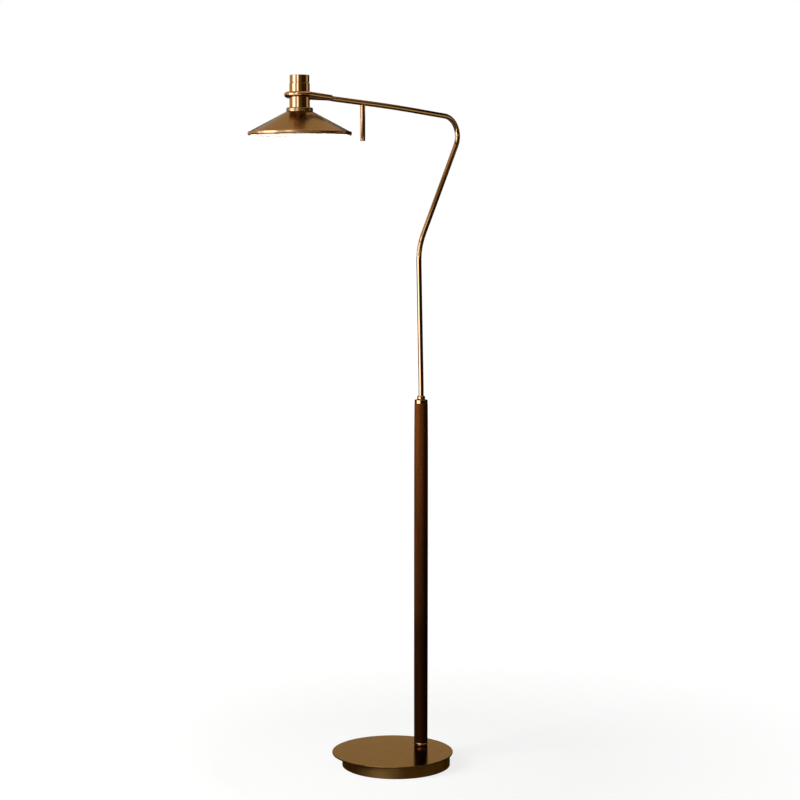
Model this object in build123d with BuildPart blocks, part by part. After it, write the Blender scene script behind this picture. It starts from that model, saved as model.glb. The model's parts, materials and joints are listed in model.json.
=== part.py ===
from build123d import *
import os
from math import acos, asin, atan2, cos, degrees, hypot, radians, sin, sqrt, tan

# Floor lamp, in millimetres. Z is up, the origin is the middle of the drum on the floor,
# and the lamp's own plane is XZ: the pole stands towards +X and the shade hangs towards -X.

os.makedirs("parts", exist_ok=True)

# Fits that the whole lamp shares
run_gap = 0.05
seat_gap = 0.05
face_gap = 0.3
overrun = 5.0

# Foot: a drum with a wider plate on it, moved to one side
base_height = 31.2
plate_r = 142.6
plate_t = 2.5
plate_edge = 0.8
plate_shift = 1.9
plate_side = 10.2
drum_r = 127.3
drum_wall = 1.5
drum_lift = 1.0
pad_t = 1.5
cover_t = 1.5

plate_screw_r = 2.5
plate_screw_head_r = 4.5
plate_screw_head_t = 4.0
plate_screw_seat = 16.0
plate_screw_bite = 1.7
plate_screw_reach = 85.0
plate_screw_count = 3
plate_screw_start = 60.0

cover_screw_r = 2.0
cover_screw_head_r = 3.6
cover_screw_len = 10.0
cover_screw_reach = 105.0
cover_screw_count = 4
cover_screw_start = 45.0

# Cable inlet and wiring inside the foot
gland_height = 13.0
gland_bore = 3.1
gland_body_r = 5.0
gland_body_len = 10.0
gland_flange_r = 7.0
gland_flange_t = 2.5
gland_edge = 0.8
gland_nut_r = 8.0
gland_nut_t = 3.5
channel_half = 10.0
channel_top = 22.5
block_len = 12.0
block_width = 16.0
block_height = 9.0
block_hole_r = 1.5
block_hole_depth = 5.0
block_hole_pitch = 5.0
block_hole_count = 3
wire_r = 1.6
wire_lift = 2.2
wire_bend = 3.4

# Pole and the rod that ties it to the foot
pole_shift = 82.0
tie_rod_r = 5.0
tie_rod_bore = 3.2
tie_washer_r = 12.0
tie_washer_t = 1.5
tie_nut_r = 9.8
tie_nut_t = 7.0
tie_nut_sides = 6
tie_rod_tail = 0.5
tie_pocket_r = 14.0
tie_pocket_top = 18.0
foot_collar_r = 16.4
foot_collar_h = 9.7
foot_collar_round = 4.0
wood_len = 812.0
wood_foot_r = 16.2
wood_mid_r = 16.6
wood_shoulder_r = 16.4
wood_neck_r = 16.15
wood_top_r = 15.75
wood_taper_len = 95.0
ferrule_r = 15.4
ferrule_h = 7.9
ferrule_edge = 0.8

# Swivel in the pole's top
socket_r = 9.0
socket_bore = 8.0
socket_depth = 62.0
socket_floor_t = 12.0
socket_flange_r = 12.0
socket_flange_t = 3.0
bush_len = 14.0
thrust_r = 7.0
thrust_t = 0.6
stop_lift = 24.0
stop_pin_r = 1.2
stop_pin_reach = 7.6

# Arm: one bent tube. The knee and the ring are lifts above the ferrule, the other bends drop from the ring,
# and reaches are level distances from the pole towards the shade
tube_r = 6.0
tube_wall = 0.9
tube_foot_gap = 3.0
arm_collar_r = 9.4
arm_collar_h = 9.0
arm_collar_crown = 3.2
arm_collar_round = 2.3
lean_lift = 20.0
lean_bend_r = 1500.0
knee_lift = 358.7
knee_reach = 8.5
knee_bend_r = 131.0
elbow_drop = 38.0
elbow_back = 146.8
elbow_bend_r = 46.7
mid_drop = 16.6
mid_reach = 95.1
mid_bend_r = 4000.0
handle_reach = 186.4
handle_r = 5.8
handle_len = 85.4
handle_edge = 0.7
grub_r = 1.5
grub_angle = 40.0

# Loop: a rod bent round the lamp housing, its thinner shank turning in the arm's end
head_reach = 375.1
ring_lift = 696.4
loop_rod_r = 5.6
ring_gap = 0.45
ring_drop = 3.3
ring_drop_shares = (1.0, 0.17, 0.0, 0.0)
ring_bend_share = 0.97
arm_end_reach = 97.0
kink_setback = 15.0
kink_bend_r = 30.0
shank_len = 45.0
shank_bore = 2.4
leg_tip_gap = 11.8
leg_tip_drop = 4.0
leg_tip_round_share = 0.8
roll_limit = 45.0
roll_margin = 2.0
roll_screw_setback = 15.0
roll_groove_depth = 1.3
roll_groove_play = 0.1
loop_grub_angle = 125.0

# Head: housing, switch and shade, with the seat of the shade as its drop from the ring
seat_drop = 38.1
housing_r = 22.3
housing_wall = 1.2
housing_h = 62.2
housing_roof_t = 2.0
housing_edge = 0.5
dial_r = 19.0
dial_t = 1.2
knob_gap = 0.3
knob_r = 21.5
knob_h = 16.3
knob_edge = 0.8
knob_recess_r = 9.0
knob_recess_h = 5.0
switch_r = 11.0
switch_h = 14.0
switch_neck_r = 3.5
switch_nut_r = 6.5
switch_nut_t = 2.2
switch_nut_sides = 6
shaft_r = 2.5
shaft_foot = 10.0
shaft_top = 12.0
knob_grub_lift = 9.5
flange_r = 29.3
flange_h = 9.3
flange_crown = 3.0
flange_edge = 1.2
flange_grub_angles = (20.0, 110.0)
flange_grub_lift = 4.4
shade_hole_r = 15.3
shade_top_r = 30.2
shade_skirt_r = 111.3
shade_drop = 43.2
shade_t = 1.0
reflector_t = 0.6
reflector_hole_r = 21.5
rim_r = 114.4
rim_h = 7.8
rim_edge = 2.2
rim_fit = 0.1

# Lampholder and bulb
holder_r = 15.0
holder_bore = 14.0
holder_mouth = 5.0
holder_roof_t = 15.0
holder_flange_r = 20.5
holder_flange_t = 3.4
holder_ring_t = 3.5
shell_t = 0.5
shell_setback = 3.0
contact_r = 4.0
contact_t = 2.0
cap_r = 13.0
cap_len = 22.0
cap_sink = 1.2
cap_tip_r = 4.5
cap_tip_h = 2.8
globe_r = 21.5
globe_t = 0.8
globe_foot_lift = 6.0
neck_r = 12.2

# Places worked out from the sizes
pole_x = pole_shift
head_x = pole_shift - head_reach
drum_top = base_height - plate_t
cover_top = pad_t + cover_t
ballast_top = drum_top - drum_wall
drum_inner_r = drum_r - drum_wall
wood_foot = base_height + foot_collar_h
wood_top = wood_foot + wood_len
ferrule_top = wood_top + ferrule_h
socket_foot = wood_top - socket_depth
socket_floor = socket_foot + socket_floor_t
tie_rod_foot = tie_pocket_top - tie_washer_t - tie_nut_t - tie_rod_tail
tie_rod_top = socket_floor - face_gap
tube_bore = tube_r - tube_wall
tube_foot = socket_floor + tube_foot_gap
arm_collar_foot = ferrule_top + thrust_t
arm_collar_top = arm_collar_foot + arm_collar_h
stop_z = socket_floor + stop_lift
knee_z = ferrule_top + knee_lift
ring_z = ferrule_top + ring_lift
elbow_z = ring_z - elbow_drop
mid_z = ring_z - mid_drop
arm_slope = atan2(mid_drop, head_reach - mid_reach)
arm_dir = Vector(-cos(arm_slope), 0, sin(arm_slope))
arm_down = Vector(-sin(arm_slope), 0, -cos(arm_slope))
shank_r = tube_bore - run_gap
ring_r = housing_r + ring_gap + loop_rod_r
shade_seat_z = ring_z - seat_drop
housing_top = shade_seat_z + housing_h
housing_inner_r = housing_r - housing_wall
roof_foot = housing_top - housing_roof_t
dial_top = housing_top + dial_t
knob_foot = dial_top + knob_gap
shade_run = shade_skirt_r - shade_top_r
shade_foot = shade_seat_z - shade_drop
shade_fall_share = shade_drop / shade_run
shade_slant_share = hypot(1, shade_fall_share)
rim_top = shade_foot + rim_fit
rim_foot = rim_top - rim_h
holder_foot = shade_seat_z - holder_mouth
cap_foot = holder_foot + cap_sink
cap_top = cap_foot + cap_len
holder_roof = cap_top + cap_tip_h + face_gap + contact_t
holder_top = holder_roof + holder_roof_t
globe_z = rim_foot + globe_foot_lift + globe_r


def section(station):
    """The upright plane through an axis at the given X: radius across, height up."""
    return Plane(origin=(station, 0, 0), x_dir=(1, 0, 0), z_dir=(0, -1, 0))


def upright(station):
    """The vertical axis at the given X."""
    return Axis((station, 0, 0), (0, 0, 1))


def level(station, height):
    """The level plane on the axis at the given X."""
    return Plane((station, 0, height))


def facing(station, height, angle, radius):
    """A plane that looks out from the axis at the given X, at an angle round it."""
    out = Vector(cos(radians(angle)), sin(radians(angle)), 0)
    return Plane(origin=Vector(station, 0, height) + out * radius, z_dir=out)


def arm_point(reach):
    """A point on the arm's outer stretch, at a level distance from the head's axis."""
    return Vector(head_x + reach, 0, ring_z - reach * tan(arm_slope))


def cone_height(radius, depth):
    """Height of the shade's wall at a radius, at a depth under its outer face."""
    return shade_seat_z - (radius - shade_top_r) * shade_fall_share - depth * shade_slant_share


def cone_radius(height, depth):
    """Radius of the shade's wall at a height, at a depth under its outer face."""
    return shade_top_r + (shade_seat_z - height - depth * shade_slant_share) / shade_fall_share


def turned(station, outline):
    """A piece turned about the axis at the given X from a closed outline of radius and height."""
    with BuildPart() as piece:
        with BuildSketch(section(station)):
            with BuildLine():
                Polyline(*outline, close=True)
            make_face()
        revolve(axis=upright(station))
    return piece


def ring(station, outer, inner, foot, top):
    """A plain ring or bush about the axis at the given X."""
    with BuildPart() as piece:
        with BuildSketch(level(station, foot)):
            Circle(outer)
            Circle(inner, mode=Mode.SUBTRACT)
        extrude(amount=top - foot)
    return piece


def hex_nut(plane, radius, bore, height, sides):
    """A nut that stands on a plane."""
    with BuildPart() as piece:
        with BuildSketch(plane):
            RegularPolygon(radius, sides)
            Circle(bore, mode=Mode.SUBTRACT)
        extrude(amount=height)
    return piece


def rod(plane, radius, length):
    """A plain round rod that stands on a plane."""
    with BuildPart() as piece:
        with BuildSketch(plane):
            Circle(radius)
        extrude(amount=length)
    return piece


def keep(piece, label):
    """Names a finished piece and writes it."""
    piece.part.label = label
    export_step(piece.part, f"parts/{label}.step")


# Foot plate, with blind holes for its screws from below
with BuildPart() as base_top_plate:
    with BuildSketch(Plane((-plate_shift, plate_side, drum_top))):
        Circle(plate_r)
    extrude(amount=plate_t)
    fillet(base_top_plate.edges().group_by(Axis.Z)[-1], plate_edge)
    with BuildSketch(level(pole_x, drum_top)):
        Circle(tie_rod_r + seat_gap)
    extrude(amount=plate_t, mode=Mode.SUBTRACT)
    with BuildSketch(level(0, drum_top)):
        with PolarLocations(plate_screw_reach, plate_screw_count, plate_screw_start):
            Circle(plate_screw_r + seat_gap)
    extrude(amount=plate_screw_bite, mode=Mode.SUBTRACT)
keep(base_top_plate, "base_top_plate")

# Drum: a deep cup, mouth down
with BuildPart() as base_drum:
    with BuildSketch(level(0, drum_lift)):
        Circle(drum_r)
    extrude(amount=drum_top - drum_lift)
    with BuildSketch(level(0, drum_lift)):
        Circle(drum_inner_r)
    extrude(amount=ballast_top - drum_lift, mode=Mode.SUBTRACT)
    with BuildSketch(level(pole_x, ballast_top)):
        Circle(tie_rod_r + seat_gap)
    extrude(amount=drum_wall, mode=Mode.SUBTRACT)
    with BuildSketch(level(0, ballast_top)):
        with PolarLocations(plate_screw_reach, plate_screw_count, plate_screw_start):
            Circle(plate_screw_r + seat_gap)
    extrude(amount=drum_wall, mode=Mode.SUBTRACT)
    with BuildSketch(facing(0, gland_height, 0, drum_inner_r - overrun)):
        Circle(gland_body_r + seat_gap)
    extrude(amount=drum_wall + overrun + overrun, mode=Mode.SUBTRACT)
keep(base_drum, "base_drum")

# Ballast casting, with a pocket for the tie nut and a channel for the wiring
with BuildPart() as base_ballast:
    with BuildSketch(level(0, cover_top)):
        Circle(drum_inner_r - face_gap)
    extrude(amount=ballast_top - cover_top)
    with BuildSketch(level(pole_x, cover_top)):
        Circle(tie_pocket_r)
    extrude(amount=tie_pocket_top - cover_top, mode=Mode.SUBTRACT)
    with BuildSketch(level(pole_x, cover_top)):
        Circle(tie_rod_r + seat_gap)
    extrude(amount=ballast_top - cover_top, mode=Mode.SUBTRACT)
    with BuildSketch(level((pole_x + drum_r) / 2, cover_top)):
        Rectangle(drum_r - pole_x, channel_half * 2)
    extrude(amount=channel_top - cover_top, mode=Mode.SUBTRACT)
    with BuildSketch(level(0, cover_top)):
        with PolarLocations(plate_screw_reach, plate_screw_count, plate_screw_start):
            Circle(plate_screw_head_r + face_gap)
    extrude(amount=plate_screw_seat - cover_top, mode=Mode.SUBTRACT)
    with BuildSketch(level(0, cover_top)):
        with PolarLocations(plate_screw_reach, plate_screw_count, plate_screw_start):
            Circle(plate_screw_r + seat_gap)
    extrude(amount=ballast_top - cover_top, mode=Mode.SUBTRACT)
    with BuildSketch(level(0, cover_top)):
        with PolarLocations(cover_screw_reach, cover_screw_count, cover_screw_start):
            Circle(cover_screw_r + seat_gap)
    extrude(amount=cover_screw_len, mode=Mode.SUBTRACT)
keep(base_ballast, "base_ballast")

# Screws that hold the plate, driven up through the ballast
with BuildPart() as plate_screws:
    with BuildSketch(level(0, plate_screw_seat - plate_screw_head_t)):
        with PolarLocations(plate_screw_reach, plate_screw_count, plate_screw_start):
            Circle(plate_screw_head_r)
    extrude(amount=plate_screw_head_t)
    with BuildSketch(level(0, plate_screw_seat)):
        with PolarLocations(plate_screw_reach, plate_screw_count, plate_screw_start):
            Circle(plate_screw_r)
    extrude(amount=drum_top + plate_screw_bite - plate_screw_seat)
keep(plate_screws, "plate_screws")

# Bottom cover with countersunk screws, and the soft pad that the lamp rests on
with BuildPart() as bottom_cover:
    with BuildSketch(level(0, pad_t)):
        Circle(drum_inner_r - face_gap)
    extrude(amount=cover_t)
    with PolarLocations(cover_screw_reach, cover_screw_count, cover_screw_start):
        with Locations((0, 0, pad_t)):
            Cone(
                cover_screw_head_r + seat_gap,
                cover_screw_r + seat_gap,
                cover_t,
                align=(Align.CENTER, Align.CENTER, Align.MIN),
                mode=Mode.SUBTRACT,
            )
keep(bottom_cover, "bottom_cover")

with BuildPart() as bottom_cover_screws:
    with PolarLocations(cover_screw_reach, cover_screw_count, cover_screw_start):
        with Locations((0, 0, pad_t)):
            Cone(
                cover_screw_head_r,
                cover_screw_r,
                cover_t,
                align=(Align.CENTER, Align.CENTER, Align.MIN),
            )
    with BuildSketch(level(0, cover_top)):
        with PolarLocations(cover_screw_reach, cover_screw_count, cover_screw_start):
            Circle(cover_screw_r)
    extrude(amount=cover_screw_len)
keep(bottom_cover_screws, "bottom_cover_screws")

foot_pad = rod(Plane.XY, drum_inner_r - face_gap, pad_t)
keep(foot_pad, "foot_pad")

# Cable gland in the drum's wall behind the pole, and its nut inside
with BuildPart() as cable_gland:
    with BuildSketch(facing(0, gland_height, 0, drum_r)):
        Circle(gland_flange_r)
    extrude(amount=gland_flange_t)
    fillet(cable_gland.edges().group_by(Axis.X)[-1], gland_edge)
    with BuildSketch(facing(0, gland_height, 0, drum_r - gland_body_len)):
        Circle(gland_body_r)
    extrude(amount=gland_body_len)
    with BuildSketch(facing(0, gland_height, 0, drum_r - gland_body_len)):
        Circle(gland_bore)
    extrude(amount=gland_body_len + gland_flange_t, mode=Mode.SUBTRACT)
keep(cable_gland, "cable_gland")

gland_nut_seat = sqrt(drum_inner_r**2 - gland_nut_r**2)
gland_nut = hex_nut(
    facing(0, gland_height, 0, gland_nut_seat - gland_nut_t),
    gland_nut_r,
    gland_body_r + seat_gap,
    gland_nut_t,
    tie_nut_sides,
)
keep(gland_nut, "gland_nut")

# Terminal block on the cover, in the ballast's channel
block_x = pole_x + tie_pocket_r + block_len
with BuildPart() as terminal_block:
    with BuildSketch(level(block_x, cover_top)):
        Rectangle(block_len, block_width)
    extrude(amount=block_height)
    with BuildSketch(level(block_x, cover_top + block_height)):
        with GridLocations(block_hole_pitch, block_hole_pitch, 1, block_hole_count):
            Circle(block_hole_r)
    extrude(amount=-block_hole_depth, mode=Mode.SUBTRACT)
keep(terminal_block, "terminal_block")

# Wire from the block up through the tie rod
wire_z = cover_top + wire_lift
stand_wire_route = (
    (block_x - block_len / 2, 0, wire_z),
    (pole_x, 0, wire_z),
    (pole_x, 0, tie_rod_top),
)
with BuildPart() as stand_wire:
    with BuildLine():
        FilletPolyline(*stand_wire_route, radius=wire_bend)
    with BuildSketch(Plane(origin=stand_wire_route[0], z_dir=(-1, 0, 0))):
        Circle(wire_r)
    sweep()
keep(stand_wire, "stand_wire")

# Tie rod through foot and pole, with its washer and nut in the ballast's pocket
tie_rod = ring(pole_x, tie_rod_r, tie_rod_bore, tie_rod_foot, tie_rod_top)
keep(tie_rod, "tie_rod")
tie_rod_washer = ring(
    pole_x, tie_washer_r, tie_rod_r + seat_gap, tie_pocket_top - tie_washer_t, tie_pocket_top
)
keep(tie_rod_washer, "tie_rod_washer")
tie_rod_nut = hex_nut(
    level(pole_x, tie_rod_foot + tie_rod_tail), tie_nut_r, tie_rod_r + seat_gap, tie_nut_t, tie_nut_sides
)
keep(tie_rod_nut, "tie_rod_nut")

# Rounded collar under the wood
with BuildPart() as foot_collar:
    with BuildSketch(level(pole_x, base_height)):
        Circle(foot_collar_r)
    extrude(amount=foot_collar_h)
    fillet(foot_collar.edges().filter_by(GeomType.CIRCLE), foot_collar_round)
    with BuildSketch(level(pole_x, base_height)):
        Circle(tie_rod_r + seat_gap)
    extrude(amount=foot_collar_h, mode=Mode.SUBTRACT)
keep(foot_collar, "foot_collar")

# Wood pole: slightly barrelled, drawn in near its top, bored for the rod and the socket
wood_shoulder = wood_top - wood_taper_len
with BuildPart() as wood_pole:
    with BuildSketch(section(pole_x)):
        with BuildLine():
            Line((0, wood_foot), (wood_foot_r, wood_foot))
            ThreePointArc(
                (wood_foot_r, wood_foot),
                (wood_mid_r, (wood_foot + wood_shoulder) / 2),
                (wood_shoulder_r, wood_shoulder),
            )
            ThreePointArc(
                (wood_shoulder_r, wood_shoulder),
                (wood_neck_r, (wood_shoulder + wood_top) / 2),
                (wood_top_r, wood_top),
            )
            Line((wood_top_r, wood_top), (0, wood_top))
            Line((0, wood_top), (0, wood_foot))
        make_face()
    revolve(axis=upright(pole_x))
    with BuildSketch(level(pole_x, wood_foot)):
        Circle(tie_rod_r + face_gap)
    extrude(amount=wood_len, mode=Mode.SUBTRACT)
    with BuildSketch(level(pole_x, wood_top)):
        Circle(socket_r + seat_gap)
    extrude(amount=-socket_depth, mode=Mode.SUBTRACT)
keep(wood_pole, "wood_pole")

# Ferrule on the wood's top, held down by the socket's flange
flange_foot = ferrule_top - socket_flange_t
with BuildPart() as top_ferrule:
    with BuildSketch(level(pole_x, wood_top)):
        Circle(ferrule_r)
    extrude(amount=ferrule_h)
    fillet(top_ferrule.edges().group_by(Axis.Z)[-1], ferrule_edge)
    with BuildSketch(level(pole_x, wood_top)):
        Circle(socket_r + seat_gap)
    extrude(amount=ferrule_h, mode=Mode.SUBTRACT)
    with BuildSketch(level(pole_x, flange_foot)):
        Circle(socket_flange_r + seat_gap)
    extrude(amount=socket_flange_t, mode=Mode.SUBTRACT)
keep(top_ferrule, "top_ferrule")

# Swivel socket, screwed on the tie rod, with a hole for the stop peg
with BuildPart() as swivel_socket:
    with BuildSketch(level(pole_x, socket_foot)):
        Circle(socket_r)
    extrude(amount=ferrule_top - socket_foot)
    with BuildSketch(level(pole_x, flange_foot)):
        Circle(socket_flange_r)
    extrude(amount=socket_flange_t)
    with BuildSketch(level(pole_x, socket_foot)):
        Circle(tie_rod_r + seat_gap)
    extrude(amount=ferrule_top - socket_foot, mode=Mode.SUBTRACT)
    with BuildSketch(level(pole_x, socket_floor)):
        Circle(socket_bore)
    extrude(amount=ferrule_top - socket_floor, mode=Mode.SUBTRACT)
    with BuildSketch(facing(pole_x, stop_z, 0, tube_r)):
        Circle(stop_pin_r + seat_gap)
    extrude(amount=socket_r, mode=Mode.SUBTRACT)
keep(swivel_socket, "swivel_socket")

bush_r = socket_bore - seat_gap
bush_bore = tube_r + run_gap
keep(ring(pole_x, bush_r, bush_bore, socket_floor, socket_floor + bush_len), "lower_bush")
keep(ring(pole_x, bush_r, bush_bore, ferrule_top - bush_len, ferrule_top), "upper_bush")
keep(ring(pole_x, thrust_r, bush_bore, ferrule_top, arm_collar_foot), "thrust_washer")

stop_peg = rod(facing(pole_x, stop_z, 0, tube_r + face_gap), stop_pin_r, socket_r - tube_r - face_gap)
keep(stop_peg, "stop_peg")

# Arm tube: upright out of the socket, a slight lean, out at the knee and back over at the elbow
arm_end = arm_point(arm_end_reach)
arm_bends = (
    (pole_x, arm_collar_top + lean_lift),
    (pole_x - knee_reach, knee_z),
    (pole_x + elbow_back, elbow_z),
    (pole_x - mid_reach, mid_z),
)
arm_radii = (lean_bend_r, knee_bend_r, elbow_bend_r, mid_bend_r)


def arm_length(radius, bore, foot, end):
    """A round length along the arm's line, from a height in the socket to a point of the arm."""
    with BuildPart() as piece:
        with BuildLine(Plane.XZ):
            FilletPolyline((pole_x, foot), *arm_bends, (end.X, end.Z), radius=arm_radii)
        with BuildSketch(level(pole_x, foot)):
            Circle(radius)
            if bore > 0:
                Circle(bore, mode=Mode.SUBTRACT)
        sweep()
    return piece


roll_screw_at = arm_point(arm_end_reach + roll_screw_setback)
roll_groove_r = shank_r - roll_groove_depth
roll_screw_plane = Plane(origin=roll_screw_at + arm_down * (roll_groove_r + roll_groove_play), z_dir=arm_down)
roll_screw_len = tube_r - roll_groove_r - roll_groove_play
tube_blank = arm_length(tube_r, tube_bore, tube_foot, arm_end)
with BuildPart() as arm_tube:
    add(tube_blank.part)
    with BuildSketch(roll_screw_plane):
        Circle(grub_r + seat_gap)
    extrude(amount=roll_screw_len + overrun, mode=Mode.SUBTRACT)
    with BuildSketch(facing(pole_x, stop_z, 180, 0)):
        Circle(stop_pin_r + seat_gap)
    extrude(amount=tube_r + overrun, mode=Mode.SUBTRACT)
keep(arm_tube, "arm_tube")

roll_stop_screw = rod(roll_screw_plane, grub_r, roll_screw_len)
keep(roll_stop_screw, "roll_stop_screw")

stop_pin = rod(facing(pole_x, stop_z, 180, tube_bore), stop_pin_r, stop_pin_reach - tube_bore)
keep(stop_pin, "stop_pin")

shank_end = arm_point(arm_end_reach + shank_len + face_gap)
arm_wire = arm_length(wire_r, 0, tube_foot, shank_end)
keep(arm_wire, "arm_wire")

# Rounded collar that carries the arm on the thrust washer
with BuildPart() as arm_collar:
    with BuildSketch(level(pole_x, arm_collar_foot)):
        Circle(arm_collar_r)
    extrude(amount=arm_collar_h)
    fillet(arm_collar.edges().group_by(Axis.Z)[-1], arm_collar_crown)
    fillet(arm_collar.edges().group_by(Axis.Z)[0], arm_collar_round)
    with BuildSketch(level(pole_x, arm_collar_foot)):
        Circle(tube_r + seat_gap)
    extrude(amount=arm_collar_h, mode=Mode.SUBTRACT)
    with BuildSketch(facing(pole_x, (arm_collar_foot + arm_collar_top) / 2, grub_angle, tube_r)):
        Circle(grub_r + seat_gap)
    extrude(amount=arm_collar_r, mode=Mode.SUBTRACT)
keep(arm_collar, "arm_collar")

collar_grub_screw = rod(
    facing(pole_x, (arm_collar_foot + arm_collar_top) / 2, grub_angle, tube_r + seat_gap),
    grub_r,
    arm_collar_r - tube_r - face_gap,
)
keep(collar_grub_screw, "collar_grub_screw")

# Grip rod, saddled to the arm's underside
handle_top = arm_point(head_reach - handle_reach)
with BuildPart() as handle_rod:
    with BuildSketch(level(handle_top.X, handle_top.Z - handle_len)):
        Circle(handle_r)
    extrude(amount=handle_len)
    fillet(handle_rod.edges().group_by(Axis.Z)[0], handle_edge)
    with BuildSketch(Plane(origin=handle_top, z_dir=arm_dir)):
        Circle(tube_r + seat_gap)
    extrude(amount=handle_r + overrun, both=True, mode=Mode.SUBTRACT)
keep(handle_rod, "handle_rod")

# Loop bracket: one rod, from the shank out to the far leg, round the housing and back beside the shank.
# The ring's corners stand on a polygon round its circle, and drop a little at the back.
kink_reach = arm_end_reach - kink_setback
kink = arm_point(kink_reach)
far_turn = degrees(acos(ring_r / kink_reach))
tip_reach = arm_end_reach - leg_tip_gap
tip_rise = tip_reach * tan(arm_slope) - leg_tip_drop
tip_side = sqrt((2 * loop_rod_r + face_gap) ** 2 - tip_rise**2)
near_tip = Vector(head_x + tip_reach, -tip_side, ring_z - leg_tip_drop)
near_turn = degrees(atan2(tip_side, tip_reach) + acos(ring_r / hypot(tip_reach, tip_side)))
ring_step = (360 - far_turn - near_turn) / len(ring_drop_shares)
corner_r = ring_r / cos(radians(ring_step / 2))
ring_corners = []
for step, drop_share in enumerate(ring_drop_shares):
    corner_angle = radians(far_turn + ring_step * (step + 1 / 2))
    corner_side = Vector(corner_r * cos(corner_angle), corner_r * sin(corner_angle), 0)
    ring_corners.append(Vector(head_x, 0, ring_z - ring_drop * drop_share) + corner_side)
ring_bend_r = ring_r * ring_bend_share
far_leg = ring_corners[0] - kink
far_start = ring_corners[0] - far_leg.normalized() * (ring_r * tan(radians(ring_step / 2)))
wire_in = (Vector(head_x, 0, far_start.Z) - far_start).normalized()

# The shank's hollow and groove: the wire leaves it into the housing, and the stop screw runs in it
rod_reach = arm_end_reach - face_gap
shank_reach = arm_end_reach + shank_len
shank_plane = Plane(origin=arm_point(shank_reach), z_dir=arm_dir)
groove_half = roll_limit + roll_margin + degrees(asin(grub_r / roll_groove_r))
groove_start = arm_down.rotate(Axis((0, 0, 0), arm_dir), -groove_half)
groove_plane = Plane(origin=roll_screw_at, x_dir=groove_start, z_dir=groove_start.cross(arm_dir))


def rod_length(radius, reach, points, radii):
    """A round length that starts at a reach on the arm's line and follows the rod."""
    with BuildPart() as piece:
        with BuildLine():
            FilletPolyline(arm_point(reach), kink, *points, radius=radii)
        with BuildSketch(Plane(origin=arm_point(reach), z_dir=arm_dir)):
            Circle(radius)
        sweep()
    return piece


loop_radii = (kink_bend_r,) + (ring_bend_r,) * len(ring_corners)
loop_blank = rod_length(loop_rod_r, rod_reach, (*ring_corners, near_tip), loop_radii)
loop_shank = rod(shank_plane, shank_r, (shank_reach - rod_reach) / cos(arm_slope) + overrun)
shank_hollow = rod_length(shank_bore, shank_reach, (far_start,), (kink_bend_r,))
shank_wire = rod_length(wire_r, shank_reach, (far_start,), (kink_bend_r,))
with BuildPart() as loop_bracket:
    add(loop_blank.part)
    add(loop_shank.part)
    tip_edge = loop_bracket.edges().filter_by(GeomType.CIRCLE).sort_by_distance(near_tip)[0]
    fillet(tip_edge, loop_rod_r * leg_tip_round_share)
    add(shank_hollow.part, mode=Mode.SUBTRACT)
    with Locations(far_start):
        Sphere(shank_bore, mode=Mode.SUBTRACT)
    with BuildSketch(Plane(origin=far_start, z_dir=wire_in)):
        Circle(shank_bore)
    extrude(amount=loop_rod_r + overrun, mode=Mode.SUBTRACT)
    with BuildSketch(groove_plane):
        with Locations((shank_r, 0)):
            Rectangle(roll_groove_depth * 2, (grub_r + roll_groove_play) * 2)
    revolve(axis=Axis(roll_screw_at, arm_dir), revolution_arc=groove_half * 2, mode=Mode.SUBTRACT)
    with BuildSketch(facing(head_x, ring_z, loop_grub_angle, housing_r)):
        Circle(grub_r + seat_gap)
    extrude(amount=loop_rod_r * 2 + overrun, mode=Mode.SUBTRACT)
keep(loop_bracket, "loop_bracket")

loop_grub_screw = rod(
    facing(head_x, ring_z, loop_grub_angle, housing_r), grub_r, ring_gap + loop_rod_r * 2 - face_gap
)
keep(loop_grub_screw, "loop_grub_screw")

# Wire through the shank into the housing, up to the lampholder
with BuildPart() as head_wire:
    add(shank_wire.part)
    with Locations(far_start):
        Sphere(wire_r)
    with BuildSketch(Plane(origin=far_start, z_dir=wire_in)):
        Circle(wire_r)
    extrude(amount=ring_r - holder_r - face_gap)
keep(head_wire, "head_wire")

# Lamp housing: a can, mouth down, with the switch neck through its roof
with BuildPart() as lamp_housing:
    with BuildSketch(level(head_x, shade_seat_z)):
        Circle(housing_r)
    extrude(amount=housing_h)
    fillet(lamp_housing.edges().group_by(Axis.Z)[-1], housing_edge)
    with BuildSketch(level(head_x, shade_seat_z)):
        Circle(housing_inner_r)
    extrude(amount=housing_h - housing_roof_t, mode=Mode.SUBTRACT)
    with BuildSketch(level(head_x, roof_foot)):
        Circle(switch_neck_r + seat_gap)
    extrude(amount=housing_roof_t, mode=Mode.SUBTRACT)
    with BuildSketch(Plane(origin=far_start, z_dir=wire_in)):
        Circle(shank_bore)
    extrude(amount=ring_r, mode=Mode.SUBTRACT)
keep(lamp_housing, "lamp_housing")

# Rotary switch under the roof, its washer and nut above
switch_neck_top = dial_top + switch_nut_t
with BuildPart() as switch_body:
    with BuildSketch(level(head_x, roof_foot - switch_h)):
        Circle(switch_r)
    extrude(amount=switch_h)
    with BuildSketch(level(head_x, roof_foot)):
        Circle(switch_neck_r)
    extrude(amount=switch_neck_top - roof_foot)
    with BuildSketch(level(head_x, switch_neck_top)):
        Circle(shaft_r + run_gap)
    extrude(amount=-(switch_neck_top - roof_foot + shaft_foot), mode=Mode.SUBTRACT)
keep(switch_body, "switch_body")

keep(ring(head_x, dial_r, switch_neck_r + seat_gap, housing_top, dial_top), "dial_washer")
keep(
    hex_nut(level(head_x, dial_top), switch_nut_r, switch_neck_r + seat_gap, switch_nut_t, switch_nut_sides),
    "switch_nut",
)

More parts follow.
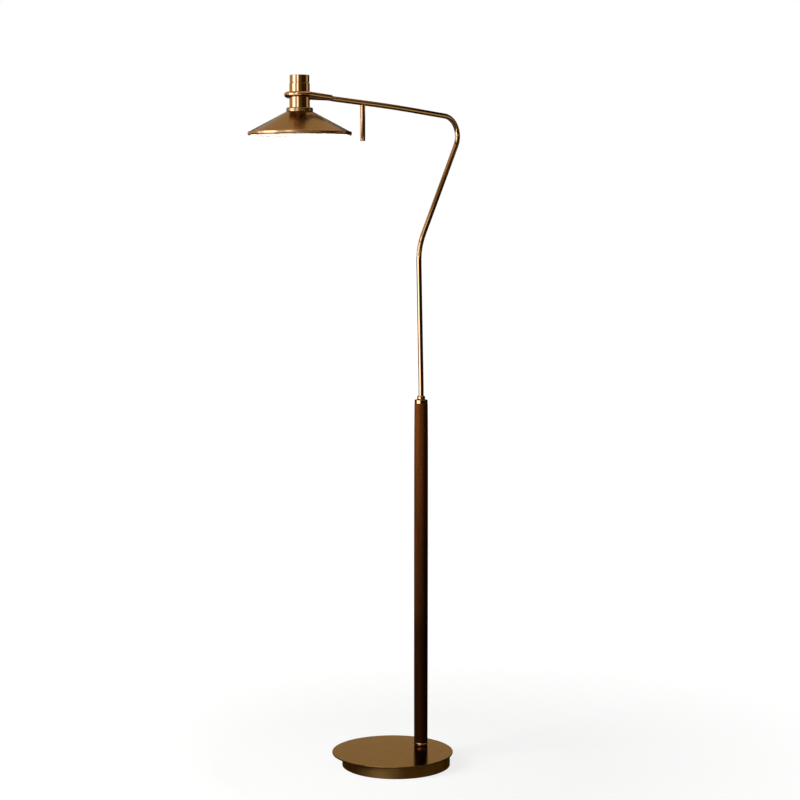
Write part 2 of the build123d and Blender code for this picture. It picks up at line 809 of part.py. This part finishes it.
# Knob with a recess over the nut, its shaft and grub screw
shaft_foot_z = roof_foot - shaft_foot + face_gap
shaft_top_z = knob_foot + shaft_top
knob_grub_z = knob_foot + knob_grub_lift
with BuildPart() as switch_knob:
    with BuildSketch(level(head_x, knob_foot)):
        Circle(knob_r)
    extrude(amount=knob_h)
    fillet(switch_knob.edges().group_by(Axis.Z)[-1], knob_edge)
    with BuildSketch(level(head_x, knob_foot)):
        Circle(knob_recess_r)
    extrude(amount=knob_recess_h, mode=Mode.SUBTRACT)
    with BuildSketch(level(head_x, knob_foot)):
        Circle(shaft_r + seat_gap)
    extrude(amount=shaft_top, mode=Mode.SUBTRACT)
    with BuildSketch(facing(head_x, knob_grub_z, grub_angle, shaft_r)):
        Circle(grub_r + seat_gap)
    extrude(amount=knob_r, mode=Mode.SUBTRACT)
keep(switch_knob, "switch_knob")

keep(rod(level(head_x, shaft_foot_z), shaft_r, shaft_top_z - shaft_foot_z), "switch_shaft")
knob_grub_screw = rod(
    facing(head_x, knob_grub_z, grub_angle, shaft_r + seat_gap), grub_r, knob_r - shaft_r - face_gap
)
keep(knob_grub_screw, "knob_grub_screw")

# Shade: flange on the housing, cone with a flat top, rim round its skirt, white reflector inside
with BuildPart() as shade_flange:
    with BuildSketch(level(head_x, shade_seat_z)):
        Circle(flange_r)
    extrude(amount=flange_h)
    fillet(shade_flange.edges().group_by(Axis.Z)[-1], flange_crown)
    fillet(shade_flange.edges().group_by(Axis.Z)[0], flange_edge)
    with BuildSketch(level(head_x, shade_seat_z)):
        Circle(housing_r + seat_gap)
    extrude(amount=flange_h, mode=Mode.SUBTRACT)
    for angle in flange_grub_angles:
        with BuildSketch(facing(head_x, shade_seat_z + flange_grub_lift, angle, housing_r)):
            Circle(grub_r + seat_gap)
        extrude(amount=flange_r, mode=Mode.SUBTRACT)
keep(shade_flange, "shade_flange")

with BuildPart() as flange_screws:
    for angle in flange_grub_angles:
        with BuildSketch(facing(head_x, shade_seat_z + flange_grub_lift, angle, housing_r)):
            Circle(grub_r)
        extrude(amount=flange_r - housing_r - face_gap)
keep(flange_screws, "flange_screws")

disc_foot = shade_seat_z - shade_t
skirt_inner_r = shade_skirt_r - shade_t
shade_cone = turned(
    head_x,
    (
        (shade_hole_r, shade_seat_z),
        (shade_top_r, shade_seat_z),
        (shade_skirt_r, shade_foot),
        (shade_skirt_r, rim_foot),
        (skirt_inner_r, rim_foot),
        (skirt_inner_r, cone_height(skirt_inner_r, shade_t)),
        (cone_radius(disc_foot, shade_t), disc_foot),
        (shade_hole_r, disc_foot),
    ),
)
keep(shade_cone, "shade_cone")

back_depth = shade_t + face_gap
front_depth = back_depth + reflector_t
reflector_top = disc_foot - face_gap
reflector_r = skirt_inner_r - face_gap
reflector_inner_r = reflector_r - reflector_t
shade_reflector = turned(
    head_x,
    (
        (reflector_hole_r, reflector_top),
        (cone_radius(reflector_top, back_depth), reflector_top),
        (reflector_r, cone_height(reflector_r, back_depth)),
        (reflector_r, rim_foot),
        (reflector_inner_r, rim_foot),
        (reflector_inner_r, cone_height(reflector_inner_r, front_depth)),
        (cone_radius(reflector_top - reflector_t, front_depth), reflector_top - reflector_t),
        (reflector_hole_r, reflector_top - reflector_t),
    ),
)
keep(shade_reflector, "shade_reflector")

rim_bore = shade_skirt_r + rim_fit
with BuildPart() as shade_rim:
    with BuildSketch(level(head_x, rim_foot)):
        Circle(rim_r)
        Circle(rim_bore, mode=Mode.SUBTRACT)
    extrude(amount=rim_h)
    rim_circles = shade_rim.edges().filter_by(GeomType.CIRCLE)
    fillet(rim_circles.group_by(SortBy.RADIUS)[-1], rim_edge)
keep(shade_rim, "shade_rim")

# Lampholder clamped to the shade's flat top, with its ring below
lampholder = turned(
    head_x,
    (
        (0, holder_top),
        (holder_r, holder_top),
        (holder_r, shade_seat_z + holder_flange_t),
        (holder_flange_r, shade_seat_z + holder_flange_t),
        (holder_flange_r, shade_seat_z),
        (holder_r, shade_seat_z),
        (holder_r, holder_foot),
        (holder_bore, holder_foot),
        (holder_bore, holder_roof),
        (0, holder_roof),
    ),
)
keep(lampholder, "lampholder")
keep(ring(head_x, holder_flange_r, holder_r + seat_gap, disc_foot - holder_ring_t, disc_foot), "holder_ring")

shell_r = holder_bore - seat_gap
keep(ring(head_x, shell_r, shell_r - shell_t, holder_foot + shell_setback, holder_roof), "screw_shell")
keep(rod(level(head_x, holder_roof - contact_t), contact_r, contact_t), "centre_contact")

# Bulb: screw cap and blown glass, open at the neck
bulb_cap = turned(
    head_x,
    (
        (0, cap_foot),
        (cap_r, cap_foot),
        (cap_r, cap_top),
        (cap_tip_r, cap_top),
        (cap_tip_r, cap_top + cap_tip_h),
        (0, cap_top + cap_tip_h),
    ),
)
keep(bulb_cap, "bulb_cap")


def bulb_form(globe, neck):
    """A ball with a neck drawn tangent to it, up to the cap."""
    neck_rise = cap_foot - globe_z
    touch = atan2(neck_rise, neck) - acos(globe / hypot(neck, neck_rise))
    middle = (touch - radians(90)) / 2
    touch_point = (globe * cos(touch), globe_z + globe * sin(touch))
    middle_point = (globe * cos(middle), globe_z + globe * sin(middle))
    with BuildPart() as piece:
        with BuildSketch(section(head_x)):
            with BuildLine():
                Line((0, globe_z - globe), (0, cap_foot))
                Line((0, cap_foot), (neck, cap_foot))
                Line((neck, cap_foot), touch_point)
                ThreePointArc(touch_point, middle_point, (0, globe_z - globe))
            make_face()
        revolve(axis=upright(head_x))
    return piece


bulb_outside = bulb_form(globe_r, neck_r)
bulb_inside = bulb_form(globe_r - globe_t, neck_r - globe_t)
with BuildPart() as bulb_glass:
    add(bulb_outside.part)
    add(bulb_inside.part, mode=Mode.SUBTRACT)
keep(bulb_glass, "bulb_glass")
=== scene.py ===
import json
from math import cos, pi, radians, sin, tan

import bpy
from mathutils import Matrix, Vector


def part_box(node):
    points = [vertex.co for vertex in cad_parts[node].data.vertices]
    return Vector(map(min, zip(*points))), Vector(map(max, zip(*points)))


# Floor lamp: finishes, camera, floor and studio light around the fixed model.
# Lengths are in metres. Azimuths are in degrees from the camera, and grow to its right.

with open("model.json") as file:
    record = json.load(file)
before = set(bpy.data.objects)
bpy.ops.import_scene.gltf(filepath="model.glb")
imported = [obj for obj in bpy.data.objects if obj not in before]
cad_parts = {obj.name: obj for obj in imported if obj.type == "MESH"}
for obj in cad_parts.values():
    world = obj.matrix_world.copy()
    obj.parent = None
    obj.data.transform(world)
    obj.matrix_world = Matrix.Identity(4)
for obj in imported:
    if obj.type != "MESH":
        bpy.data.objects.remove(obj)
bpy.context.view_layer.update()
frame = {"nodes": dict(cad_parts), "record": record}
nodes = frame["nodes"]


def middle(node):
    """The middle of a node's box."""
    low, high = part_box(node)
    return (low + high) / 2


pole_axis = middle("wood_pole")
head_axis = middle("lamp_housing")
drum_axis = middle("base_drum")

# Camera, at the photograph's viewing angle
view_azimuth = radians(-44.0)
view_pitch = radians(5.282)
level_tilt = radians(90.0)
right_azimuth = 90.0
eye_height = 1.2941
eye_distance = 4.6939
eye_left_of_pole = 0.04975
lens_mm = 90.12

# Soft lights: start and stop azimuth, bottom and top height, radiance
key_distance = 2.2
key_box = (-79.0, -47.0, 0.5, 2.3, 8.0)
shine_distance = 2.0
shine_boxes = (
    (-77.0, -48.0, 0.65, 2.3, 4.3),
    (-31.5, -19.0, 1.585, 3.42, 3.1),
    (-47.0, -21.0, 0.4, 1.4, 3.2),
    (-21.0, 4.0, 0.1, 0.45, 4.0),
    (-91.0, -80.5, 1.53, 1.60, 6.0),
)
shine_colour = (1.0, 1.5, 3.4)

# Dark cloths: start and stop azimuth, distance from the pole, bottom and top height, glow
flags = (
    (-84.0, -46.0, 0.5, 0.0, 0.45, 0.03),
    (-10.0, 60.0, 2.3, 0.45, 1.28, 0.02),
    (-10.0, 18.0, 2.3, 1.555, 3.2, 0.20),
    (18.0, 60.0, 2.3, 1.555, 3.2, 0.05),
    (38.0, 60.0, 2.3, 1.28, 1.555, 0.25),
    (60.0, 80.0, 2.3, 0.45, 3.2, 0.05),
    (78.0, 118.0, 0.4, 0.70, 1.16, 0.02),
    (76.0, 94.0, 6.0, 1.0, 1.83, 0.03),
    (94.0, 115.0, 6.0, 0.6, 1.83, 0.03),
    (76.0, 115.0, 6.0, 2.15, 6.0, 0.03),
    (113.0, 158.0, 1.2, 0.0, 3.0, 0.02),
    (158.0, 172.0, 1.5, 0.0, 2.6, 0.02),
    (172.0, 202.0, 1.5, 0.8, 2.1, 0.05),
    (-158.0, -95.0, 1.5, 0.0, 1.25, 0.04),
    (-158.0, -146.0, 1.5, 1.25, 2.0, 0.03),
    (-92.0, 16.0, 0.6, 1.93, 2.10, 0.28),
)
flag_step = 6.0
flag_colour = (0.010, 0.009, 0.008, 1)
flag_warmth = (1.0, 0.80, 0.42, 1)
flag_roughness = 1.0

# White surroundings, and a floor that turns white away from the lamp
white = (1, 1, 1, 1)
world_fill = 0.08
floor_size = 400.0
floor_colour = (0.30, 0.30, 0.295, 1)
floor_roughness = 0.9
floor_glow = 0.82
floor_fade = (0.45, 1.5)

# The floor in the metal's shine, with painted shade: dim under the lamp, dark around it and white far off
floor_shine = 0.30
painted_floor_shade = 0.03
shine_near = (0.2, 0.6)
shine_far = (2.2, 3.2)

# Brass: colours, and the tints of its edges
plate_tone = (0.212, 0.102, 0.027)
# The drum's colour is the plate's brass painted darker: painted shade for the dim floor that its side
# mirrors
drum_tone_with_painted_shade = (0.150, 0.062, 0.010)
shade_tone = (0.24725, 0.1242, 0.0391)
polished_brass = (0.36, 0.175, 0.052)
steep_edge = (0.60, 0.52, 0.43)
round_edge = (0.68, 0.60, 0.52)

# Brass: patches of patina, as places on a noise with shares of the colour
patina_scale = 38.0
patina_detail = 4.0
patina_contrast = 0.6
patina_stops = ((0.30, 0.90), (0.52, 1.0), (0.74, 1.08))

# Brass: marks of turning and brushing, and the shares of the roughness between which they change the gloss
turning_scale = 1600.0
plate_brush = (12.0, 900.0, 12.0)
tube_brush = (90.0, 90.0, 90.0)
mark_detail = 3.0
mark_contrast = 0.6
mark_depth = 0.00001
mark_strength = 0.6
mark_gloss_shares = (0.75, 1.3)
# Upright parts of the normal between which a side goes from its painted shade to its full colour
side_normals = (0.02, 0.2)
quarter_turn = 0.25
brass_finishes = {
    # The plate's upright side is painted darker: painted shade and painted dark reflection
    "plate_brass": dict(
        colour=plate_tone, edge_tint=steep_edge, roughness=0.16, brush=plate_brush, painted_side_shade_share=0.25
    ),
    "drum_brass": dict(colour=drum_tone_with_painted_shade, edge_tint=steep_edge, roughness=0.50, axis=drum_axis, streak=0.95),
    "shade_brass": dict(colour=shade_tone, edge_tint=round_edge, roughness=0.20, axis=head_axis),
    "rim_brass": dict(colour=polished_brass, edge_tint=round_edge, roughness=0.20, axis=head_axis),
    "tube_brass": dict(colour=polished_brass, edge_tint=round_edge, roughness=0.03, brush=tube_brush),
    "turned_brass": dict(colour=polished_brass, edge_tint=round_edge, roughness=0.03, axis=head_axis),
}

# Walnut: grain along the pole, open pores, and a colour that is darker towards the foot
walnut_colour = (0.170, 0.048, 0.0090)
walnut_red = (0.215, 0.055, 0.0095)
walnut_specular = 0.006
walnut_roughness = (0.42, 0.56)
grain_stretch = (75.0, 75.0, 3.5)
grain_detail = 4.0
grain_contrast = 0.55
grain_places = (0.30, 0.52, 0.74)
grain_dark_share = 0.55
pore_stretch = (1400.0, 1400.0, 45.0)
pore_places = (0.58, 0.70)
pore_share = 0.45
pore_depth = -0.00006
pore_strength = 0.7
foot_darkening_share = 0.22
darkening_rise = (0.30, 0.78)
darkening_drift = 0.05
drift_stretch = (20.0, 20.0, 7.0)

# Plain finishes: a fine even grain, as places on a noise with shares of the colour
speckle_detail = 3.0
speckle_contrast = 0.55
speckle_stops = ((0.30, 0.88), (0.70, 1.06))
speckle_gloss_shares = (0.85, 1.15)
speckle_depth = 0.00003
speckle_strength = 0.5
bulb_light = (1.0, 0.93, 0.82, 1)
bulb_strength = 26.0
plain_finishes = {
    "ballast_iron": dict(colour=(0.10, 0.10, 0.10), roughness=0.7, grain=400.0, depth=0.0003, metallic=0.6),
    "cover_steel": dict(colour=(0.38, 0.38, 0.39), roughness=0.4, grain=900.0, metallic=1.0),
    "fastener_steel": dict(colour=(0.45, 0.44, 0.42), roughness=0.3, grain=1500.0, metallic=1.0),
    "pad_rubber": dict(colour=(0.03, 0.03, 0.03), roughness=0.85, grain=1200.0, depth=0.0002),
    "black_plastic": dict(colour=(0.025, 0.025, 0.025), roughness=0.5, grain=1800.0),
    "white_plastic": dict(colour=(0.80, 0.79, 0.76), roughness=0.45, grain=900.0),
    "wire_sleeve": dict(colour=(0.09, 0.07, 0.05), roughness=0.55, grain=1500.0),
    "reflector_white": dict(colour=(0.86, 0.85, 0.82), roughness=0.45, grain=260.0, depth=0.00001),
    "holder_white": dict(colour=(0.84, 0.83, 0.79), roughness=0.15, grain=300.0, Coat_Weight=0.5),
    "contact_brass": dict(colour=(0.60, 0.42, 0.18), roughness=0.25, grain=1500.0, metallic=1.0),
    "bulb_metal": dict(colour=(0.75, 0.75, 0.76), roughness=0.3, grain=900.0, metallic=1.0),
    "bulb_glass": dict(
        colour=(0.92, 0.91, 0.88),
        roughness=0.25,
        grain=200.0,
        depth=0.00001,
        Emission_Color=bulb_light,
        Emission_Strength=bulb_strength,
    ),
}


def bearing(azimuth):
    """The level direction from the lamp at an azimuth."""
    turn = view_azimuth + radians(azimuth)
    return Vector((sin(turn), -cos(turn), 0))


def around(azimuth, distance, height):
    """A point in the studio, seen from the pole."""
    return Vector((pole_axis.x, pole_axis.y, height)) + bearing(azimuth) * distance


def tinted(colour, share):
    """A colour made lighter or darker by a share of itself."""
    return tuple(part * share for part in colour)


def add_object(name, data):
    """Puts new data into the scene."""
    made = bpy.data.objects.new(name, data)
    bpy.context.scene.collection.objects.link(made)
    return made


def make_camera():
    data = bpy.data.cameras.new("photo_camera")
    data.lens = lens_mm
    camera = add_object("photo_camera", data)
    camera.location = around(0, eye_distance, eye_height) - bearing(right_azimuth) * eye_left_of_pole
    camera.rotation_euler = (level_tilt - view_pitch, 0, view_azimuth)
    bpy.context.scene.camera = camera


class Finish:
    """A material under construction: a Principled shader and the nodes that feed it."""

    def __init__(self, name, **sockets):
        self.material = bpy.data.materials.new(name)
        self.material.use_nodes = True
        self.tree = self.material.node_tree
        self.shader = self.tree.nodes["Principled BSDF"]
        self.feed_named(self.shader, **sockets)

    def feed(self, socket, value):
        """Links a socket to another node's output, or sets it."""
        if isinstance(value, bpy.types.NodeSocket):
            self.tree.links.new(value, socket)
        else:
            socket.default_value = value

    def feed_named(self, node, **sockets):
        """Feeds a node's sockets by name, with _ for a space."""
        for name, value in sockets.items():
            self.feed(node.inputs[name.replace("_", " ")], value)

    def set(self, name, value):
        """Feeds one of the shader's sockets."""
        self.feed(self.shader.inputs[name], value)

    def node(self, kind, settings=None, *inputs):
        """A new node with its settings, and its first inputs in order."""
        made = self.tree.nodes.new("ShaderNode" + kind)
        for name, value in (settings or {}).items():
            setattr(made, name, value)
        for socket, value in zip(made.inputs, inputs):
            self.feed(socket, value)
        return made

    def math(self, operation, first, second):
        return self.node("Math", {"operation": operation}, first, second).outputs[0]

    def vector_math(self, operation, *inputs):
        return self.node("VectorMath", {"operation": operation}, *inputs).outputs

    def scaled(self, colour, share):
        """A colour times a value that changes from place to place."""
        made = self.node("VectorMath", {"operation": "SCALE"}, colour)
        self.feed_named(made, Scale=share)
        return made.outputs[0]

    def position(self, centre=(0, 0, 0), scale=(1, 1, 1)):
        """The place on the piece, from a centre and stretched."""
        place = self.node("TexCoord").outputs["Object"]
        return self.vector_math("MULTIPLY", self.vector_math("SUBTRACT", place, centre)[0], scale)[0]

    def part(self, vector, axis):
        """One part of a vector: X, Y or Z."""
        return self.node("SeparateXYZ", None, vector).outputs[axis]

    def noise(self, vector, scale=1.0, detail=2.0, roughness=0.5):
        made = self.node("TexNoise")
        self.feed_named(made, Vector=vector, Scale=scale, Detail=detail, Roughness=roughness)
        return made.outputs["Fac"]

    def spread(self, value, low, high, from_low=0.3, from_high=0.7):
        """Maps a value to a range; the usual reach of a noise is taken if none is given."""
        return self.node("MapRange", None, value, from_low, from_high, low, high).outputs[0]

    def ramp(self, value, *stops):
        """A colour ramp with stops of (place, colour)."""
        made = self.node("ValToRGB", None, value)
        elements = made.color_ramp.elements
        elements[0].position, elements[0].color = stops[0][0], (*stops[0][1], 1)
        elements[1].position, elements[1].color = stops[-1][0], (*stops[-1][1], 1)
        for place, colour in stops[1:-1]:
            elements.new(place).color = (*colour, 1)
        return made.outputs[0]

    def shaded(self, value, colour, stops):
        """A colour ramp with stops of (place, share of one colour)."""
        return self.ramp(value, *((place, tinted(colour, share)) for place, share in stops))

    def bump(self, height, distance, strength):
        made = self.node("Bump")
        self.feed_named(made, Height=height, Distance=distance, Strength=strength)
        self.set("Normal", made.outputs[0])

    def lathe_lines(self, axis):
        """Noise that runs round an upright axis, as fine turning marks do."""
        place = self.position((axis.x, axis.y, 0))
        flat = self.vector_math("MULTIPLY", place, (1, 1, 0))[0]
        radius = self.vector_math("LENGTH", flat)["Value"]
        along = self.node("CombineXYZ", None, radius, self.part(place, "Z"), 0.0).outputs[0]
        return self.noise(along, turning_scale, mark_detail, mark_contrast)

    def brush_lines(self, stretch):
        """Noise that is drawn out along one direction, as brushing marks are."""
        return self.noise(self.position(scale=stretch), detail=mark_detail, roughness=mark_contrast)


def brass(name, colour, edge_tint, roughness, axis=None, brush=None, streak=0.0, painted_side_shade_share=1.0):
    """Aged brass: patches of patina, fine marks that change its gloss, and upright sides that may be painted
    darker as painted shade.
    """
    finish = Finish(name, Metallic=1.0, Specular_Tint=(*edge_tint, 1), Anisotropic=streak)
    if streak:
        finish.set("Anisotropic Rotation", quarter_turn)
        finish.set("Tangent", finish.node("Tangent", {"direction_type": "RADIAL", "axis": "Z"}).outputs[0])
    patches = finish.noise(finish.position(), patina_scale, patina_detail, patina_contrast)
    # Painted shade: faces that stand upright get a darker base colour than faces that look up
    upward = finish.part(finish.node("TexCoord").outputs["Normal"], "Z")
    painted_side_shade = finish.spread(upward, painted_side_shade_share, 1.0, *side_normals)
    finish.set("Base Color", finish.scaled(finish.shaded(patches, colour, patina_stops), painted_side_shade))
    marks = finish.lathe_lines(axis) if brush is None else finish.brush_lines(brush)
    finish.set("Roughness", finish.spread(marks, *(roughness * share for share in mark_gloss_shares)))
    finish.bump(marks, mark_depth, mark_strength)
    return finish


def walnut(name):
    """Dark stained walnut, its colour darker towards the foot."""
    finish = Finish(name, Specular_IOR_Level=walnut_specular)
    rings = finish.noise(finish.position(pole_axis, grain_stretch), 1.0, grain_detail, grain_contrast)
    tones = (tinted(walnut_colour, grain_dark_share), walnut_colour, walnut_red)
    grain = finish.ramp(rings, *zip(grain_places, tones))
    drift = finish.noise(finish.position(scale=drift_stretch))
    height = finish.part(finish.position(), "Z")
    level = finish.math("ADD", height, finish.spread(drift, -darkening_drift, darkening_drift))
    foot_darkening = finish.spread(level, foot_darkening_share, 1.0, *darkening_rise)
    pores = finish.noise(finish.position(scale=pore_stretch))
    open_pores = finish.spread(pores, 1.0, pore_share, *pore_places)
    finish.set("Base Color", finish.scaled(grain, finish.math("MULTIPLY", foot_darkening, open_pores)))
    finish.set("Roughness", finish.spread(rings, *walnut_roughness))
    finish.bump(pores, pore_depth, pore_strength)
    return finish


def plain(name, colour, roughness, grain, depth=speckle_depth, metallic=0.0, **sockets):
    """A moulded, painted or machined surface with a fine even grain."""
    finish = Finish(name, Metallic=metallic, **sockets)
    speckle = finish.noise(finish.position(), grain, speckle_detail, speckle_contrast)
    finish.set("Base Color", finish.shaded(speckle, colour, speckle_stops))
    finish.set("Roughness", finish.spread(speckle, *(roughness * share for share in speckle_gloss_shares)))
    finish.bump(speckle, depth, speckle_strength)
    return finish


def make_finishes():
    """One finish for each material slot of the record."""
    made = {slot: brass(slot, **look) for slot, look in brass_finishes.items()}
    made["wood"] = walnut("wood")
    made.update((slot, plain(slot, **look)) for slot, look in plain_finishes.items())
    for subpart in frame["record"]["subparts"]:
        piece = nodes[subpart["node"]]
        for slot in piece.material_slots:
            slot.material = made[subpart["material_slot"]].material


def background_rays(tree):
    """1 for rays that should see the white background: from the camera, a gloss or a glass."""
    paths = tree.nodes.new("ShaderNodeLightPath")
    seen = paths.outputs["Is Camera Ray"]
    for name in ("Is Glossy Ray", "Is Transmission Ray"):
        joined = tree.nodes.new("ShaderNodeMath")
        joined.operation = "MAXIMUM"
        tree.links.new(seen, joined.inputs[0])
        tree.links.new(paths.outputs[name], joined.inputs[1])
        seen = joined.outputs[0]
    return seen


def make_world():
    world = bpy.data.worlds.new("studio")
    world.use_nodes = True
    bpy.context.scene.world = world
    tree = world.node_tree
    background = tree.nodes["Background"]
    strength = tree.nodes.new("ShaderNodeMapRange")
    strength.inputs["To Min"].default_value = world_fill
    tree.links.new(background_rays(tree), strength.inputs["Value"])
    background.inputs["Color"].default_value = white
    tree.links.new(strength.outputs[0], background.inputs["Strength"])


def make_panel(name, width, height, location, facing):
    """A flat card that stands or lies in the studio."""
    mesh = bpy.data.meshes.new(name)
    across, along = width / 2, height / 2
    corners = [(-across, -along, 0), (across, -along, 0), (across, along, 0), (-across, along, 0)]
    mesh.from_pydata(corners, [], [(0, 1, 2, 3)])
    panel = add_object(name, mesh)
    panel.location = location
    panel.rotation_mode = "QUATERNION"
    panel.rotation_quaternion = facing.to_track_quat("Z", "Y")
    return panel


def make_floor():
    """A pale floor that keeps the shadow and turns white away from the lamp."""
    floor = make_panel("floor", floor_size, floor_size, Vector((0, 0, 0)), Vector((0, 0, 1)))
    finish = Finish("pale_floor", Base_Color=floor_colour, Roughness=floor_roughness, Specular_IOR_Level=0.0)
    finish.set("Emission Color", white)
    reach = finish.vector_math("LENGTH", finish.position())["Value"]
    glow = finish.spread(reach, floor_glow, 1.0, *floor_fade)
    # Painted shade: in the metal's shine the floor is dim under the lamp and dark around it
    near = finish.spread(reach, floor_shine, painted_floor_shade, *shine_near)
    far = finish.spread(reach, 0.0, 1.0, *shine_far)
    paths = finish.node("LightPath").outputs
    seen = finish.math("MULTIPLY", paths["Is Camera Ray"], glow)
    in_metal = finish.math("MAXIMUM", paths["Is Glossy Ray"], paths["Is Transmission Ray"])
    mirrored = finish.math("MULTIPLY", in_metal, finish.math("ADD", near, far))
    finish.set("Emission Strength", finish.math("ADD", seen, mirrored))
    floor.data.materials.append(finish.material)


def make_flags():
    """Dark cloths, bent round the lamp, which the metal's dark sides reflect."""
    for number, (start, stop, distance, low, high, glow) in enumerate(flags):
        cloth = Finish(
            f"flag_cloth_{number}",
            Base_Color=flag_colour,
            Roughness=flag_roughness,
            Specular_IOR_Level=0.0,
            Emission_Color=flag_warmth,
            Emission_Strength=glow,
        )
        steps = round((stop - start) / flag_step)
        corners = []
        for step in range(steps + 1):
            azimuth = start + (stop - start) * step / steps
            corners += [around(azimuth, distance, low), around(azimuth, distance, high)]
        faces = [(first, first + 2, first + 3, first + 1) for first in range(0, 2 * steps, 2)]
        mesh = bpy.data.meshes.new(f"flag_{number}")
        mesh.from_pydata(corners, [], faces)
        mesh.materials.append(cloth.material)
        flag = add_object(f"flag_{number}", mesh)
        flag.visible_camera = False
        flag.visible_shadow = False


def make_softbox(name, distance, start, stop, low, high, radiance):
    """A tall soft light, as wide as the azimuths that it fills."""
    light = bpy.data.lights.new(name, "AREA")
    light.shape = "RECTANGLE"
    light.size = 2 * distance * tan(radians(stop - start) / 2)
    light.size_y = high - low
    light.energy = radiance * pi * light.size * light.size_y
    box = add_object(name, light)
    azimuth = (start + stop) / 2
    box.location = around(azimuth, distance, (low + high) / 2)
    box.rotation_mode = "QUATERNION"
    box.rotation_quaternion = bearing(azimuth).to_track_quat("Z", "Y")
    return box


def make_softboxes():
    """One box lights the matt surfaces, and the others show in the metal's shine."""
    make_softbox("key_box", key_distance, *key_box).visible_glossy = False
    for number, shine_box in enumerate(shine_boxes):
        box = make_softbox(f"shine_box_{number}", shine_distance, *shine_box)
        box.data.color = shine_colour
        box.visible_diffuse = False


make_camera()
make_finishes()
make_world()
make_floor()
make_flags()
make_softboxes()
bpy.context.scene.view_settings.view_transform = "Standard"
